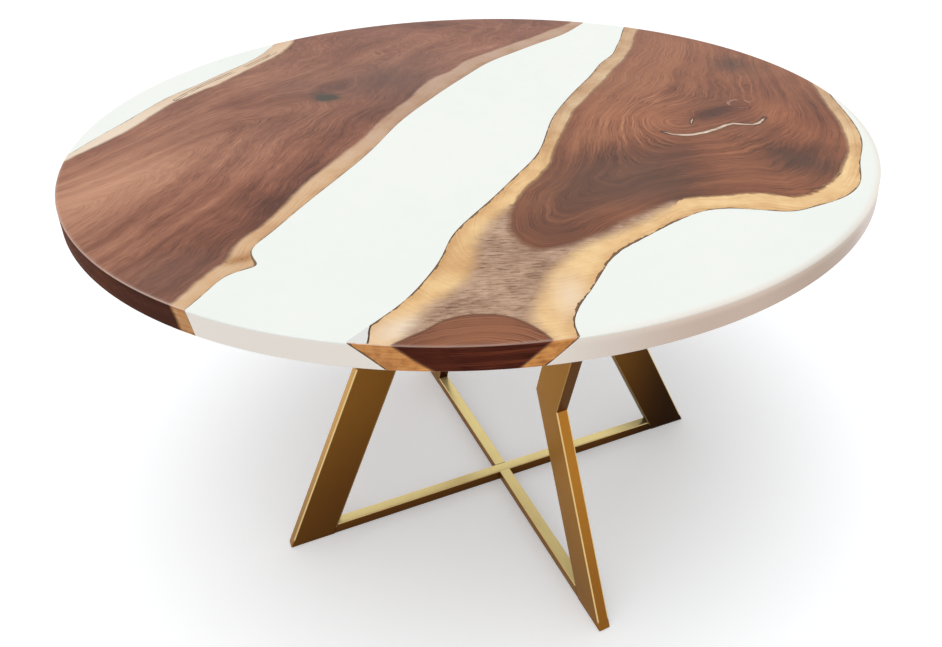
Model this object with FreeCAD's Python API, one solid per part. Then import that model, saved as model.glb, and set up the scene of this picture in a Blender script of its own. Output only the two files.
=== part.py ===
import FreeCAD, Part
import math
import os

# Round live edge table: two walnut slabs cast into a resin disc, on a base of two
# crossed hourglass frames of rectangular steel tube.
# Millimetres. The origin is on the floor under the middle of the top, +Z is up and
# -Y is the front, where the right slab narrows to a tail.

# Table top
table_diameter = 1220.0
table_height = 746.0
top_thickness = 32.0
rim_bevel = 1.2

# Inlay in the crack of the right slab
crack_depth = 3.0

# Base frames. Angles are measured from +X, radii from the table's axis along a frame.
first_frame_angle = 19.5
second_frame_angle = 112.5
foot_tip_radius = 406.0
knee_radius = 255.0
knee_height = 344.0
arm_tip_radius = 395.0

# Leg tube, wide side in the plane of the frame
leg_width = 70.0
leg_depth = 20.0
leg_wall = 2.0
leg_corner_round = 2.0

# Rail tube, along the floor and under the top
rail_size = 20.0
rail_wall = 1.6
rail_corner_round = 1.8

# Feet
foot_cap_thickness = 2.0
foot_pad_thickness = 1.5
foot_pad_end_margin = 7.0
foot_pad_side_margin = 3.0

# Mounting plates and their bolts
plate_length = 130.0
plate_width = 90.0
plate_thickness = 4.0
plate_corner_round = 10.0
plate_hole_inset = 18.0
plate_slot_travel = 5.0
bolt_radius = 4.0
bolt_length = 22.0
bolt_head_height = 5.5
bolt_head_radius = 7.5
bolt_clearance = 0.5
washer_radius = 9.0
washer_thickness = 1.6
insert_radius = 6.0
insert_length = 15.0
insert_hole_depth = 18.0

# Steel channels let into the underside across the grain
grain_angle = 63.0
channel_plate_gap = 6.5
channel_length = 820.0
channel_width = 38.0
channel_height = 13.0
channel_wall = 4.0
channel_slot_travel = 4.0
channel_screw_radius = 3.0
channel_screw_length = 13.0
channel_screw_head_radius = 5.0
channel_screw_head_height = 2.0
channel_insert_radius = 4.5
channel_insert_length = 9.0
channel_insert_hole_depth = 11.0

# Fits
seat_gap = 0.1
channel_gap = 0.3
cut_overrun = 5.0

# The four live edges, from front to back. Each point is x and y as shares of the top's
# radius, then how far the wood reaches past that point at the underside as a share of
# the thickness. Less than zero is an undercut. The first and last points lie off the rim.
left_slab_outer_shares = [
    (-1.10, -0.27, 0.3), (-0.99, -0.135, 0.3), (-0.96, -0.03, 0.3), (-0.93, 0.06, 0.35),
    (-0.90, 0.16, 0.4), (-0.87, 0.25, 0.4), (-0.82, 0.345, 0.35), (-0.77, 0.45, 0.3),
    (-0.72, 0.55, 0.3), (-0.69, 0.65, 0.35), (-0.675, 0.75, 0.4), (-0.67, 0.87, 0.4),
    (-0.68, 1.10, 0.4)]
left_slab_river_shares = [
    (-0.65, -1.10, 0.25), (-0.575, -0.93, 0.25), (-0.538, -0.84, 0.25), (-0.517, -0.785, 0.2),
    (-0.492, -0.73, 0.05), (-0.465, -0.711, 0.0), (-0.448, -0.697, 0.0), (-0.455, -0.675, 0.0),
    (-0.468, -0.635, 0.05), (-0.45, -0.58, 0.2), (-0.425, -0.515, 0.3), (-0.38, -0.40, 0.35),
    (-0.33, -0.28, 0.35), (-0.28, -0.145, 0.3), (-0.237, 0.0, 0.3), (-0.17, 0.16, 0.35),
    (-0.10, 0.305, 0.4), (-0.05, 0.40, 0.35), (0.003, 0.495, 0.3), (0.09, 0.60, 0.3),
    (0.175, 0.695, 0.3), (0.257, 0.783, 0.35), (0.325, 0.888, 0.4), (0.37, 0.97, 0.4),
    (0.43, 1.10, 0.4)]
right_slab_river_shares = [
    (-0.38, -1.10, -1.15), (-0.252, -0.968, -1.15), (-0.215, -0.92, -1.1), (-0.17, -0.86, -1.0),
    (-0.13, -0.78, -0.8), (-0.10, -0.69, -0.65), (-0.085, -0.62, -0.55), (-0.055, -0.55, -0.45),
    (0.0, -0.45, -0.35), (0.055, -0.34, -0.3), (0.11, -0.225, -0.3), (0.14, -0.11, -0.3),
    (0.17, 0.025, -0.3), (0.20, 0.11, -0.35), (0.25, 0.23, -0.4), (0.32, 0.385, -0.4),
    (0.358, 0.48, -0.35), (0.40, 0.555, -0.3), (0.425, 0.635, -0.3), (0.45, 0.72, -0.3),
    (0.467, 0.795, -0.3), (0.487, 0.873, -0.3), (0.545, 1.10, -0.3)]
right_slab_outer_shares = [
    (0.17, -1.10, -1.15), (0.14, -0.99, -1.15), (0.135, -0.945, -1.1), (0.15, -0.895, -0.9),
    (0.17, -0.855, -0.75), (0.205, -0.78, -0.55), (0.235, -0.725, -0.45), (0.28, -0.68, -0.35),
    (0.335, -0.632, -0.3), (0.40, -0.582, -0.3), (0.455, -0.55, -0.3), (0.52, -0.544, -0.25),
    (0.585, -0.557, -0.25), (0.65, -0.568, -0.25), (0.70, -0.552, -0.25), (0.79, -0.507, -0.25),
    (0.85, -0.44, -0.25), (0.89, -0.337, -0.3), (0.945, -0.21, -0.3), (0.97, -0.10, -0.3),
    (0.98, 0.015, -0.3), (0.985, 0.12, -0.3), (1.00, 0.24, -0.3), (1.10, 0.62, -0.3)]

# Where the two ends of each slab's blank lie off the rim, at the front and at the back
left_blank_corner_shares = [(-1.10, -1.10)]
right_blank_corner_shares = [(1.10, 1.10)]

# Middle lines of the inlaid cracks: x, y and half the crack's width, as shares of the radius
long_crack_shares = [
    (0.447, -0.098, 0.0), (0.47, -0.117, 0.0045), (0.50, -0.125, 0.006), (0.525, -0.122, 0.006),
    (0.557, -0.11, 0.0055), (0.597, -0.087, 0.0055), (0.623, -0.065, 0.0055), (0.645, -0.056, 0.005),
    (0.67, -0.063, 0.0045), (0.697, -0.067, 0.0045), (0.715, -0.057, 0.0045), (0.73, -0.038, 0.0035),
    (0.743, -0.018, 0.0)]
short_crack_shares = [
    (0.532, -0.052, 0.0), (0.537, -0.031, 0.0022), (0.547, -0.008, 0.0)]

# Screws along a channel, as shares of half its length, all of them in wood
channel_screw_shares = [-0.9, -0.5, 0.5, 0.9]

quarter_turn = 90
half_turn = 180
full_turn = 360
hex_sides = 6
up = FreeCAD.Vector(0, 0, 1)

# Small round pieces and holes have this many flats, which keeps their faces few
round_sides = 8

# Sizes that follow from the ones above
leg_angles = {
    "back_right": first_frame_angle,
    "back_left": second_frame_angle,
    "front_left": first_frame_angle + half_turn,
    "front_right": second_frame_angle + half_turn}
top_radius = table_diameter / 2
underside_height = table_height - top_thickness
arm_top_height = underside_height - plate_thickness
foot_height = foot_pad_thickness
insert_hole_radius = insert_radius + seat_gap
channel_insert_hole_radius = channel_insert_radius + seat_gap


def vector(x, y, z):
    return FreeCAD.Vector(x, y, z)


# Outlines in the plane of a frame: points are (distance from the axis, height)

def offset_line(start, end, distance):
    """The line from start to end, moved to its left by distance."""
    run = end[0] - start[0]
    rise = end[1] - start[1]
    length = math.hypot(run, rise)
    across = -rise / length * distance
    lift = run / length * distance
    return (start[0] + across, start[1] + lift), (end[0] + across, end[1] + lift)


def meet(first, second):
    """The point where two lines, each given by two points, cross."""
    (ax, ay), (bx, by) = first
    (cx, cy), (dx, dy) = second
    turn = (bx - ax) * (dy - cy) - (by - ay) * (dx - cx)
    along = ((cx - ax) * (dy - cy) - (cy - ay) * (dx - cx)) / turn
    return ax + along * (bx - ax), ay + along * (by - ay)


def level(height):
    """A horizontal line at a height."""
    return (0, height), (top_radius, height)


def stretch(start, end, amount):
    """Two points moved apart along their own line by amount each."""
    length = math.hypot(end[0] - start[0], end[1] - start[1])
    run = (end[0] - start[0]) / length * amount
    rise = (end[1] - start[1]) / length * amount
    return (start[0] - run, start[1] - rise), (end[0] + run, end[1] + rise)


foot_tip = (foot_tip_radius, foot_height)
knee_outer = (knee_radius, knee_height)
arm_tip = (arm_tip_radius, arm_top_height)
lower_inner_line = offset_line(foot_tip, knee_outer, leg_width)
upper_inner_line = offset_line(knee_outer, arm_tip, leg_width)
knee_inner = meet(lower_inner_line, upper_inner_line)
foot_heel = meet(lower_inner_line, level(foot_height))
arm_heel = meet(upper_inner_line, level(arm_top_height))
foot_centre = (foot_tip[0] + foot_heel[0]) / 2
plate_centre = (arm_tip[0] + arm_heel[0]) / 2


def plate_near_side(angle):
    """How far a frame's plates stay from the table's axis, measured along the grain."""
    turn = math.radians(angle - grain_angle)
    along = abs(math.cos(turn))
    across = abs(math.sin(turn))
    return plate_centre * along - (plate_length * along + plate_width * across) / 2


nearest_plate = min(plate_near_side(first_frame_angle), plate_near_side(second_frame_angle))
channel_offset = nearest_plate - channel_plate_gap - channel_width / 2


def frame_prism(outline, width):
    """A prism over an outline in the plane of a frame, centred on that plane."""
    corners = [vector(u, -width / 2, z) for u, z in outline]
    face = Part.Face(Part.makePolygon(corners + corners[:1]))
    return face.extrude(vector(0, width, 0))


def rounded_rectangle(width, depth, radius):
    """A rounded rectangle about the origin in the XY plane, width along X."""
    arcs = []
    for quarter, (side, end) in enumerate([(1, 1), (-1, 1), (-1, -1), (1, -1)]):
        centre = vector(side * (width / 2 - radius), end * (depth / 2 - radius), 0)
        start = quarter * quarter_turn
        arcs.append(Part.makeCircle(radius, centre, up, start, start + quarter_turn))
    edges = []
    for arc, following in zip(arcs, arcs[1:] + arcs[:1]):
        start = arc.valueAt(arc.LastParameter)
        end = following.valueAt(following.FirstParameter)
        edges += [arc, Part.LineSegment(start, end).toShape()]
    return Part.Face(Part.Wire(edges))


def rectangle(width, depth):
    """A plain rectangle about the origin in the XY plane, width along X."""
    return Part.makePlane(width, depth, vector(-width / 2, -depth / 2, 0))


def bar(section, start, end, beyond):
    """A straight bar in the plane of a frame. Its middle line runs from start to end."""
    first, last = stretch(start, end, beyond)
    axis = vector(last[0] - first[0], 0, last[1] - first[1])
    solid = section.extrude(vector(0, 0, axis.Length))
    solid.Placement = FreeCAD.Placement(
        vector(first[0], 0, first[1]), FreeCAD.Rotation(up, axis))
    return solid


def leg_bore(start, end):
    """The bore of a leg tube. Start and end are on the leg's outer edge."""
    near, far = offset_line(start, end, leg_width / 2)
    section = rectangle(leg_width - 2 * leg_wall, leg_depth - 2 * leg_wall)
    return bar(section, near, far, leg_width)


def leg_tube(start, end):
    near, far = offset_line(start, end, leg_width / 2)
    section = rounded_rectangle(leg_width, leg_depth, leg_corner_round)
    return bar(section, near, far, leg_width).cut(leg_bore(start, end))


def rail_tube(height):
    """Square tube right across the base, its lower side at a height."""
    start = (-foot_tip_radius, height + rail_size / 2)
    end = (foot_tip_radius, height + rail_size / 2)
    bore_size = rail_size - 2 * rail_wall
    outside = bar(rounded_rectangle(rail_size, rail_size, rail_corner_round), start, end, 0)
    return outside.cut(bar(rectangle(bore_size, bore_size), start, end, 0))


def turned(shape, angle):
    """A shape turned about the table's axis."""
    copy = shape.copy()
    copy.rotate(vector(0, 0, 0), up, angle)
    return copy


def at_each_leg(shape):
    """Copies of a shape at the four legs, as one group."""
    return Part.makeCompound([turned(shape, angle) for angle in leg_angles.values()])


# Base

def lower_leg():
    """Leg tube from the floor to the knee, cut level at the foot and mitred at the knee."""
    foot_cut = stretch(foot_tip, foot_heel, leg_width)
    knee_cut = stretch(knee_outer, knee_inner, leg_width)
    keep = frame_prism([foot_cut[0], foot_cut[1], knee_cut[1], knee_cut[0]], leg_width)
    return leg_tube(foot_tip, knee_outer).common(keep)


def upper_leg():
    """Leg tube from the knee to the mounting plate."""
    knee_cut = stretch(knee_outer, knee_inner, leg_width)
    top_cut = stretch(arm_tip, arm_heel, leg_width)
    keep = frame_prism([knee_cut[0], knee_cut[1], top_cut[1], top_cut[0]], leg_width)
    return leg_tube(knee_outer, arm_tip).common(keep)


def foot_cap():
    """Plate welded into the open end of the foot, flush with its edge."""
    low = foot_height
    high = foot_height + foot_cap_thickness
    far = foot_tip_radius
    keep = frame_prism([(0, low), (far, low), (far, high), (0, high)], leg_width)
    return leg_bore(foot_tip, knee_outer).common(keep)


def foot_pad():
    """Rubber pad with rounded ends under the foot."""
    length = foot_tip[0] - foot_heel[0] - 2 * foot_pad_end_margin
    width = leg_depth - 2 * foot_pad_side_margin
    side = length / 2 - width / 2
    outline = slot_face(side, width / 2)
    pad = outline.extrude(vector(0, 0, foot_pad_thickness))
    pad.translate(vector(foot_centre, 0, 0))
    return pad


def slot_face(half_travel, radius):
    """A slot about the origin with half round ends, long along X."""
    corners = []
    for end, start in ((half_travel, -quarter_turn), (-half_travel, quarter_turn)):
        for flat in range(round_sides // 2 + 1):
            angle = math.radians(start + full_turn / round_sides * flat)
            corners.append(vector(end + radius * math.cos(angle), radius * math.sin(angle), 0))
    return Part.Face(Part.makePolygon(corners + corners[:1]))


def prism(sides, radius, height, place):
    """A regular prism standing on place. The radius is to its corners."""
    corners = []
    for side in range(sides + 1):
        angle = math.radians(full_turn / sides * side)
        corners.append(place + vector(radius * math.cos(angle), radius * math.sin(angle), 0))
    return Part.Face(Part.makePolygon(corners)).extrude(vector(0, 0, height))


def pin(radius, height, place):
    """A small round piece or hole."""
    return prism(round_sides, radius, height, place)


def long_rail(height, inner_line):
    """Rail that runs between the sloping inner faces of the first frame's legs."""
    low = meet(inner_line, level(height))
    high = meet(inner_line, level(height + rail_size))
    outline = [(-low[0], low[1]), low, high, (-high[0], high[1])]
    rail = rail_tube(height).common(frame_prism(outline, leg_width))
    return turned(rail, first_frame_angle)


def short_rail(height, inner_line, angle):
    """Half rail of the second frame, from a leg's inner face to the long rail's side."""
    low = meet(inner_line, level(height))
    high = meet(inner_line, level(height + rail_size))
    rail = rail_tube(height).common(frame_prism([(0, low[1]), low, high, (0, high[1])], leg_width))
    far = foot_tip_radius
    space = frame_prism([(-far, low[1]), (far, low[1]), (far, high[1]), (-far, high[1])], rail_size)
    return turned(rail, angle).cut(turned(space, first_frame_angle))


def plate_hole_places():
    """Places of the bolts of one plate, from the table's axis."""
    along = plate_length / 2 - plate_hole_inset
    across = plate_width / 2 - plate_hole_inset
    signs = [(-1, -1), (-1, 1), (1, -1), (1, 1)]
    return [(plate_centre + a * along, b * across) for a, b in signs]


def mounting_plate():
    """Plate on the end of an arm, with a slotted hole at each corner."""
    face = rounded_rectangle(plate_length, plate_width, plate_corner_round)
    plate = face.extrude(vector(0, 0, plate_thickness))
    plate.translate(vector(plate_centre, 0, arm_top_height))
    slot = slot_face(plate_slot_travel / 2, bolt_radius + bolt_clearance)
    cutter = slot.extrude(vector(0, 0, plate_thickness + 2 * cut_overrun))
    for u, v in plate_hole_places():
        hole = cutter.copy()
        hole.translate(vector(u, v, arm_top_height - cut_overrun))
        plate = plate.cut(hole)
    return plate


def plate_bolt(u, v):
    """Hexagon bolt, head down, through washer and plate into its insert."""
    seat = arm_top_height - washer_thickness
    head_place = vector(u, v, seat - bolt_head_height)
    head = prism(hex_sides, bolt_head_radius, bolt_head_height, head_place)
    shank = pin(bolt_radius, bolt_length, vector(u, v, seat))
    return head.fuse(shank).removeSplitter()


def plate_washer(u, v):
    seat = vector(u, v, arm_top_height - washer_thickness)
    disc = pin(washer_radius, washer_thickness, seat)
    return disc.cut(pin(bolt_radius + seat_gap, washer_thickness, seat))


def threaded_insert(radius, bore, length, place):
    """Insert in the wood, flush with the underside."""
    return pin(radius, length, place).cut(pin(bore, length, place))


def plate_insert(u, v):
    place = vector(u, v, underside_height)
    return threaded_insert(insert_radius, bolt_radius + seat_gap, insert_length, place)


def around_the_legs(make):
    """One piece made at every bolt of every plate."""
    pieces = []
    for angle in leg_angles.values():
        for u, v in plate_hole_places():
            pieces.append(turned(make(u, v), angle))
    return Part.makeCompound(pieces)


# Channels in the underside, first lying along X about the origin

def channel_profile_boxes(gap):
    """The web and the two flanges of a channel, or of the recess that takes it."""
    length = channel_length + 2 * gap
    width = channel_width + 2 * gap
    wall = channel_wall + 2 * gap
    height = channel_height + gap
    low = vector(-length / 2, -width / 2, underside_height)
    web = Part.makeBox(length, width, channel_wall, low)
    flange = Part.makeBox(length, wall, height, low)
    far_flange = Part.makeBox(length, wall, height, low + vector(0, width - wall, 0))
    return web.fuse([flange, far_flange]).removeSplitter()


def on_channel_line(shape, side):
    """A shape moved from the X axis to the front (-1) or back (1) channel's line."""
    copy = shape.copy()
    copy.translate(vector(0, side * channel_offset, 0))
    return turned(copy, grain_angle - quarter_turn)


def channel_screw_places():
    return [share * channel_length / 2 for share in channel_screw_shares]


def steel_channel(side):
    """Channel with slotted screw holes in its web, which lie along it."""
    channel = channel_profile_boxes(0)
    slot = slot_face(channel_slot_travel / 2, channel_screw_radius + bolt_clearance)
    cutter = slot.extrude(vector(0, 0, channel_wall + 2 * cut_overrun))
    for along in channel_screw_places():
        hole = cutter.copy()
        hole.translate(vector(along, 0, underside_height - cut_overrun))
        channel = channel.cut(hole)
    return on_channel_line(channel, side)


def channel_screw(along):
    """Pan head screw through the web into its insert."""
    seat = vector(along, 0, underside_height)
    drop = vector(0, 0, channel_screw_head_height)
    head = pin(channel_screw_head_radius, channel_screw_head_height, seat - drop)
    shank = pin(channel_screw_radius, channel_screw_length, seat)
    return head.fuse(shank).removeSplitter()


def channel_insert(along):
    place = vector(along, 0, underside_height + channel_wall)
    bore = channel_screw_radius + seat_gap
    return threaded_insert(channel_insert_radius, bore, channel_insert_length, place)


def along_the_channels(make):
    """One piece made at every screw of both channels."""
    pieces = []
    for side in (-1, 1):
        for along in channel_screw_places():
            pieces.append(on_channel_line(make(along), side))
    return Part.makeCompound(pieces)


# Top

def top_disc():
    """The whole top, its arrises eased by a narrow bevel."""
    middle = Part.makeCylinder(
        top_radius, top_thickness - 2 * rim_bevel, vector(0, 0, underside_height + rim_bevel))
    face_radius = top_radius - rim_bevel
    lower_bevel = Part.makeCone(
        face_radius, top_radius, rim_bevel, vector(0, 0, underside_height))
    upper_bevel = Part.makeCone(
        top_radius, face_radius, rim_bevel, vector(0, 0, table_height - rim_bevel))
    return middle.fuse([lower_bevel, upper_bevel])


def live_edge(edge_shares, resin_side, drop):
    """A live edge as a curve. resin_side is 1 where the resin lies on the left of a walk
    from front to back, else -1. drop is how far below the surface the curve lies."""
    points = []
    last = len(edge_shares) - 1
    for index, (x, y, reach) in enumerate(edge_shares):
        before = edge_shares[max(index - 1, 0)]
        after = edge_shares[min(index + 1, last)]
        run = after[0] - before[0]
        rise = after[1] - before[1]
        length = math.hypot(run, rise)
        out = resin_side * reach * drop
        points.append(vector(
            x * top_radius - rise / length * out,
            y * top_radius + run / length * out,
            table_height - drop))
    steps = [0]
    for index in range(last):
        gap = math.dist(edge_shares[index][:2], edge_shares[index + 1][:2])
        steps.append(steps[-1] + gap)
    curve = Part.BSplineCurve()
    curve.interpolate(Points=points, Parameters=steps)
    return curve.toShape()


def slab_section(left_edge, right_edge, corners, closed_at_back, drop):
    """The outline of a slab's blank at a depth below the surface."""
    left = live_edge(left_edge, 1, drop)
    right = live_edge(right_edge, -1, drop)
    height = table_height - drop
    outside = [vector(x * top_radius, y * top_radius, height) for x, y in corners]
    left_front = left.valueAt(left.FirstParameter)
    left_back = left.valueAt(left.LastParameter)
    right_front = right.valueAt(right.FirstParameter)
    right_back = right.valueAt(right.LastParameter)
    if closed_at_back:
        front_run = [left_front, right_front]
        back_run = [left_back] + outside + [right_back]
    else:
        front_run = [left_front] + outside + [right_front]
        back_run = [left_back, right_back]
    edges = [left, right]
    for run in (front_run, back_run):
        for start, end in zip(run, run[1:]):
            edges.append(Part.LineSegment(start, end).toShape())
    return Part.Wire(Part.__sortEdges__(edges))


def slab_blank(left_edge, right_edge, corners, closed_at_back):
    """A slab before it is cut round: ruled between its surface and its underside, and
    carried on past both."""
    above = slab_section(left_edge, right_edge, corners, closed_at_back, -cut_overrun)
    below = slab_section(
        left_edge, right_edge, corners, closed_at_back, top_thickness + cut_overrun)
    return Part.makeLoft([above, below], True, True)


def crack_inlay(line_shares):
    """Resin in a crack: a jagged lens along the crack's line, sunk into the surface."""
    left_side = []
    right_side = []
    last = len(line_shares) - 1
    for index, (x, y, half) in enumerate(line_shares):
        before = line_shares[max(index - 1, 0)]
        after = line_shares[min(index + 1, last)]
        run = after[0] - before[0]
        rise = after[1] - before[1]
        length = math.hypot(run, rise)
        across_x = -rise / length * half
        across_y = run / length * half
        left_side.append(
            vector((x + across_x) * top_radius, (y + across_y) * top_radius, table_height))
        right_side.append(
            vector((x - across_x) * top_radius, (y - across_y) * top_radius, table_height))
    outline = left_side + right_side[-2:0:-1]
    face = Part.Face(Part.makePolygon(outline + outline[:1]))
    return face.extrude(vector(0, 0, -crack_depth))


def underside_cutters():
    """The channel recesses and the blind holes for the inserts."""
    cutters = []
    for side in (-1, 1):
        cutters.append(on_channel_line(channel_profile_boxes(channel_gap), side))
        for along in channel_screw_places():
            place = vector(along, 0, underside_height)
            depth = channel_wall + channel_insert_hole_depth
            hole = pin(channel_insert_hole_radius, depth, place)
            cutters.append(on_channel_line(hole, side))
    for angle in leg_angles.values():
        for u, v in plate_hole_places():
            place = vector(u, v, underside_height)
            hole = pin(insert_hole_radius, insert_hole_depth, place)
            cutters.append(turned(hole, angle))
    return cutters


def table_top():
    """The two slabs, the three resin castings and the inlay, as named solids."""
    disc = top_disc()
    left_blank = slab_blank(
        left_slab_outer_shares, left_slab_river_shares, left_blank_corner_shares, False)
    right_blank = slab_blank(
        right_slab_river_shares, right_slab_outer_shares, right_blank_corner_shares, True)
    inlay = [crack_inlay(long_crack_shares), crack_inlay(short_crack_shares)]
    cutters = underside_cutters()
    left_slab = disc.common(left_blank).cut(cutters)
    right_slab = disc.common(right_blank).cut(cutters + inlay)
    castings = disc.cut([left_blank, right_blank]).cut(cutters).Solids
    castings.sort(key=lambda solid: solid.BoundBox.Center.x)
    return {
        "left_slab": left_slab,
        "right_slab": right_slab,
        "left_resin": castings[0],
        "river_resin": castings[1],
        "right_resin": castings[2],
        "crack_fill": Part.makeCompound(inlay)}


def base():
    """Both frames and their mounting plates."""
    pieces = {}
    lower = lower_leg()
    upper = upper_leg()
    plate = mounting_plate()
    for name, angle in leg_angles.items():
        pieces["lower_leg_" + name] = turned(lower, angle)
        pieces["upper_leg_" + name] = turned(upper, angle)
        pieces["mounting_plate_" + name] = turned(plate, angle)
    for place, height, line in (
            ("floor", foot_height, lower_inner_line),
            ("top", arm_top_height - rail_size, upper_inner_line)):
        pieces["long_" + place + "_rail"] = long_rail(height, line)
        for end in ("back", "front"):
            angle = leg_angles["back_left"] if end == "back" else leg_angles["front_right"]
            pieces[end + "_" + place + "_rail"] = short_rail(height, line, angle)
    pieces["foot_caps"] = at_each_leg(foot_cap())
    pieces["foot_pads"] = at_each_leg(foot_pad())
    return pieces


def plate_fasteners():
    """What holds the base to the top."""
    return {
        "plate_bolts": around_the_legs(plate_bolt),
        "plate_washers": around_the_legs(plate_washer),
        "plate_inserts": around_the_legs(plate_insert)}


def channels():
    """The two channels and what holds them."""
    return {
        "front_channel": steel_channel(-1),
        "back_channel": steel_channel(1),
        "channel_screws": along_the_channels(channel_screw),
        "channel_inserts": along_the_channels(channel_insert)}


os.makedirs("parts", exist_ok=True)
table = {**table_top(), **channels(), **base(), **plate_fasteners()}
for node, shape in table.items():
    shape.exportStep("parts/" + node + ".step")
    print(node, len(shape.Solids), "solids", round(shape.Volume), "mm3", shape.isValid())
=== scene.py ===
import math

import bmesh
import bpy
import numpy as np
from mathutils import Matrix, geometry


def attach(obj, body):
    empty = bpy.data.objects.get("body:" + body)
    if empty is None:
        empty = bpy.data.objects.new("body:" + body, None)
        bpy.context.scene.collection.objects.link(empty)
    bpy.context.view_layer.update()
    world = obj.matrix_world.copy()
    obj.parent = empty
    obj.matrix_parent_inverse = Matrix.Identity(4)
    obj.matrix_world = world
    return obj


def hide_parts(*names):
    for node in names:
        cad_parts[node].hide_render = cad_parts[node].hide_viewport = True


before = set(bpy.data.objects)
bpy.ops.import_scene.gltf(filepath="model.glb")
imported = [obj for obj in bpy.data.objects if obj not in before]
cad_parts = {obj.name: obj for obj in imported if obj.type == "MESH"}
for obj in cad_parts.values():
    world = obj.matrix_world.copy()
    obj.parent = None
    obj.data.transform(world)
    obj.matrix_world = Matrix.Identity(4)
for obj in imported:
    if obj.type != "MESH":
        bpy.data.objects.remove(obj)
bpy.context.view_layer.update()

# Sizes of the top, in metres
RADIUS = 0.610
TOP = 0.746
THICKNESS = 0.032
BEVEL = 0.0012
UNDERSIDE = TOP - THICKNESS

# How finely the top's pieces are meshed
TOP_STEP = 0.0042
UNDERSIDE_STEP = 0.010
RESIN_STEP = 0.018
RIM_CUTS = 150
RIM_LEVELS = 8
SHARP_DEGREES = 28

# How places are told apart, in metres
NEAR = 1e-5
WELD = NEAR / 5
SHORTEST = 1e-9
SHORTEST_EDGE = 1e-6
RIM_SLACK = 0.002
RIM_STRIP = 4e-4
CRACK_CLEAR = 0.008
SHORT_CRACK_CLEAR = 0.02
# Twice the area of the smallest triangle that is kept, in square metres
LEAST_TURN = 1e-14
# How far a face's normal may lean, as parts of 1
RIM_FACING = 0.5
WALL_TILT = 0.3
# How much a segment gains by being seen from its side, and how many points go at once
SIDE_VIEW = 1e-4
BATCH = 4096

# The faces of a tube's rounded corners are narrower and longer than this
CORNER_FACE = 0.0025
CORNER_LENGTH = 0.12

# Borders of the heartwood and other marks in the wood: x and y as shares of the radius
LEFT_HEART_OUTER = [
    (-1.06, -0.32), (-0.96, -0.12), (-0.905, 0.0), (-0.876, 0.10), (-0.849, 0.20),
    (-0.82, 0.25), (-0.796, 0.30), (-0.761, 0.35), (-0.74, 0.40), (-0.697, 0.50),
    (-0.651, 0.60), (-0.628, 0.70), (-0.622, 0.80), (-0.62, 0.95)]
LEFT_HEART_RIVER = [
    (-0.67, -1.05), (-0.61, -0.90), (-0.567, -0.817), (-0.545, -0.754), (-0.523, -0.703),
    (-0.508, -0.677), (-0.501, -0.604), (-0.472, -0.545), (-0.45, -0.479), (-0.43, -0.40),
    (-0.40, -0.303), (-0.365, -0.215), (-0.336, -0.142), (-0.307, -0.069), (-0.29, 0.0),
    (-0.253, 0.107), (-0.213, 0.20), (-0.187, 0.293), (-0.15, 0.373), (-0.107, 0.427),
    (-0.067, 0.513), (-0.007, 0.587), (0.053, 0.653), (0.107, 0.713), (0.167, 0.773),
    (0.213, 0.833), (0.26, 0.88), (0.293, 0.923), (0.37, 1.05)]
RIGHT_HEART = [
    (0.60, 1.10), (0.565, 0.95), (0.535, 0.845), (0.506, 0.757), (0.486, 0.66), (0.457, 0.573),
    (0.419, 0.476), (0.375, 0.389), (0.346, 0.312), (0.303, 0.225), (0.264, 0.138),
    (0.235, 0.08), (0.206, -0.017), (0.182, -0.104), (0.158, -0.191), (0.143, -0.263),
    (0.114, -0.336), (0.076, -0.403), (0.055, -0.457), (0.041, -0.526), (0.039, -0.563),
    (0.041, -0.606), (0.057, -0.649), (0.079, -0.675), (0.105, -0.68), (0.16, -0.66),
    (0.224, -0.618), (0.265, -0.58), (0.328, -0.535), (0.385, -0.498), (0.447, -0.483),
    (0.517, -0.48), (0.57, -0.473), (0.617, -0.48), (0.663, -0.497), (0.71, -0.49),
    (0.763, -0.45), (0.797, -0.417), (0.823, -0.377), (0.847, -0.337), (0.877, -0.283),
    (0.903, -0.217), (0.92, -0.15), (0.933, -0.083), (0.94, -0.023), (0.945, 0.05),
    (0.952, 0.117), (0.958, 0.177), (0.965, 0.25), (0.985, 0.40), (1.08, 0.80)]
SMOKY_LEFT = [
    (0.03, -0.50), (0.0, -0.547), (-0.033, -0.627), (-0.039, -0.697), (-0.049, -0.766),
    (-0.087, -0.83), (-0.119, -0.862), (-0.145, -0.926), (-0.17, -0.99), (-0.20, -1.10)]
SMOKY_RIGHT = [
    (0.12, -1.10), (0.085, -0.979), (0.068, -0.933), (0.071, -0.90), (0.080, -0.86),
    (0.093, -0.82), (0.108, -0.78), (0.136, -0.735), (0.170, -0.692), (0.210, -0.660),
    (0.255, -0.632), (0.295, -0.606), (0.34, -0.570), (0.38, -0.53)]
FRONT_HEART = [
    (-0.215, -1.04), (-0.175, -0.985), (-0.124, -0.947), (-0.092, -0.92), (-0.065, -0.909),
    (-0.033, -0.905), (0.015, -0.915), (0.052, -0.942), (0.079, -0.974), (0.115, -1.04)]
SHORT_CRACK = [(0.532, -0.052), (0.537, -0.031), (0.547, -0.008)]
SHORT_CRACK_MIDDLE = (0.539, -0.03)
CRACK = [
    (0.447, -0.098), (0.47, -0.117), (0.50, -0.125), (0.525, -0.122), (0.557, -0.11),
    (0.597, -0.087), (0.623, -0.065), (0.645, -0.056), (0.67, -0.063), (0.697, -0.067),
    (0.715, -0.057), (0.73, -0.038), (0.743, -0.018)]
# The line that the right slab's grain runs along
RIGHT_SPINE = [
    (0.12, -0.56), (0.22, -0.45), (0.36, -0.27), (0.50, -0.08), (0.60, 0.05), (0.66, 0.25),
    (0.74, 0.5), (0.80, 0.75), (0.85, 1.05)]
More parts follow.
